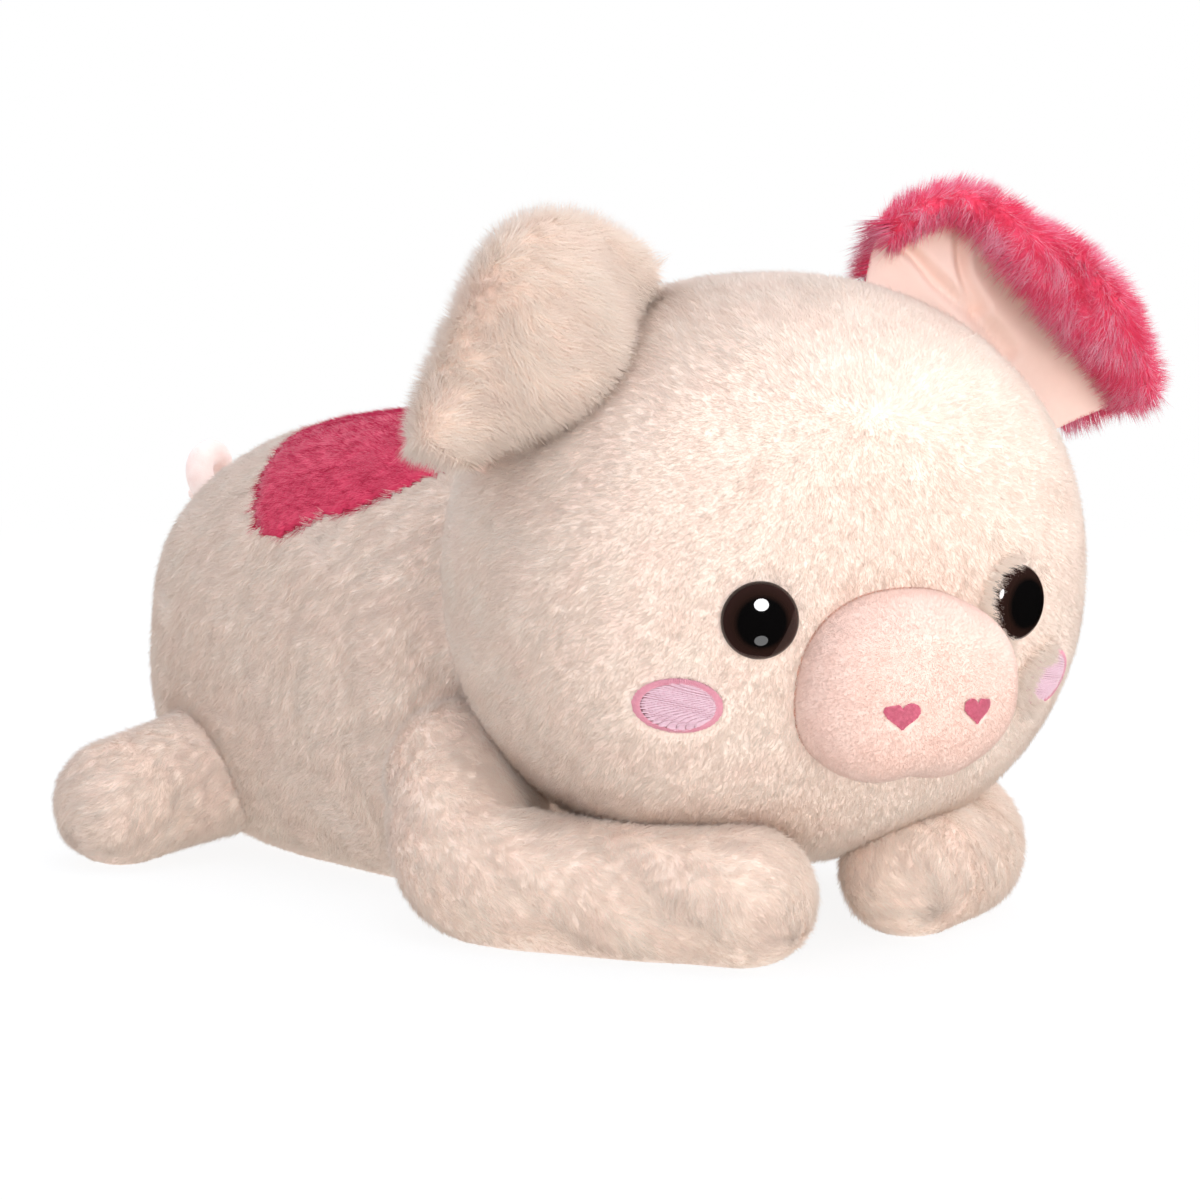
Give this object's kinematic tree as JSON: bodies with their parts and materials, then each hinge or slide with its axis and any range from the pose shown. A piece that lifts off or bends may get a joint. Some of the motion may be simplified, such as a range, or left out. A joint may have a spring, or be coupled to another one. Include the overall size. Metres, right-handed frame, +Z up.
{
  "type": "plush pig",
  "caption": "Stuffed toy pig lying on its belly with its chin between its forelegs; head, ears, legs and curled tail give and spring back at their seams.",
  "frame": {"origin": "on the floor, under the middle of the belly, at the middle of the flat face that the body rests on", "axes": "+Z up; -Y towards the snout, so the body lies along Y; +X is the pig's left side"},
  "size_m": [0.3086, 0.4879, 0.2754],
  "materials": {
    "plush_cream": "long soft pile",
    "plush_pink": "long soft pile",
    "velour_peach": "short velour pile",
    "velour_pink": "short velour pile",
    "thread_rose": "satin stitching",
    "thread_pink": "filled stitching",
    "eye_black": "high gloss",
    "washer_white": "matte",
    "fibre_filling": "loose fibre"
  },
  "bodies": {
    "body": {"body_skin": "plush_cream", "back_patch": "plush_pink", "body_filling": "fibre_filling"},
    "head": {"head_skin": "plush_cream", "head_filling": "fibre_filling", "eye_left": "eye_black", "eye_right": "eye_black", "eye_washer_left": "washer_white", "eye_washer_right": "washer_white", "snout_skin": "velour_pink", "snout_filling": "fibre_filling", "nostril_left": "thread_rose", "nostril_right": "thread_rose", "cheek_left": "thread_pink", "cheek_right": "thread_pink"},
    "ear_left": {"ear_back_left": "plush_pink", "ear_lining_left": "velour_peach"},
    "ear_right": {"ear_back_right": "plush_cream", "ear_lining_right": "velour_peach"},
    "foreleg_left": {"foreleg_left": "plush_cream"},
    "foreleg_right": {"foreleg_right": "plush_cream"},
    "hind_leg_left": {"hind_leg_left": "plush_cream"},
    "hind_leg_right": {"hind_leg_right": "plush_cream"},
    "tail": {"tail": "velour_pink"}
  },
  "joints": [
    {"name": "head_turn", "type": "hinge", "parent": "body", "child": "head", "pos_m": [0, -0.1885, 0.134], "axis": [0, 0, 1], "range_deg": [0, 28], "stiffness_Nm_per_rad": 0.6},
    {"name": "ear_left_lift", "type": "hinge", "parent": "head", "child": "ear_left", "pos_m": [0.07811, -0.20385, 0.20525], "axis": [-0.7165, 0.1786, 0.6743], "range_deg": [0, 30], "stiffness_Nm_per_rad": 0.1},
    {"name": "ear_right_lift", "type": "hinge", "parent": "head", "child": "ear_right", "pos_m": [-0.07617, -0.16539, 0.20525], "axis": [-0.7165, 0.1786, -0.6743], "range_deg": [0, 30], "stiffness_Nm_per_rad": 0.1},
    {"name": "foreleg_left_swing", "type": "hinge", "parent": "body", "child": "foreleg_left", "pos_m": [0.082, -0.112, 0.052], "axis": [0, 0, 1], "range_deg": [0, 14], "stiffness_Nm_per_rad": 0.15},
    {"name": "foreleg_right_swing", "type": "hinge", "parent": "body", "child": "foreleg_right", "pos_m": [-0.082, -0.112, 0.052], "axis": [0, 0, 1], "range_deg": [-14, 0], "stiffness_Nm_per_rad": 0.15},
    {"name": "hind_leg_left_swing", "type": "hinge", "parent": "body", "child": "hind_leg_left", "pos_m": [0.066, 0.058, 0.036], "axis": [0, 0, 1], "range_deg": [-9, 9], "stiffness_Nm_per_rad": 0.1},
    {"name": "hind_leg_right_swing", "type": "hinge", "parent": "body", "child": "hind_leg_right", "pos_m": [-0.066, 0.058, 0.036], "axis": [0, 0, 1], "range_deg": [-9, 9], "stiffness_Nm_per_rad": 0.1},
    {"name": "tail_wag", "type": "hinge", "parent": "body", "child": "tail", "pos_m": [0, 0.12033, 0.14], "axis": [0, 0, 1], "range_deg": [-14, 14], "stiffness_Nm_per_rad": 0.02}
  ]
}
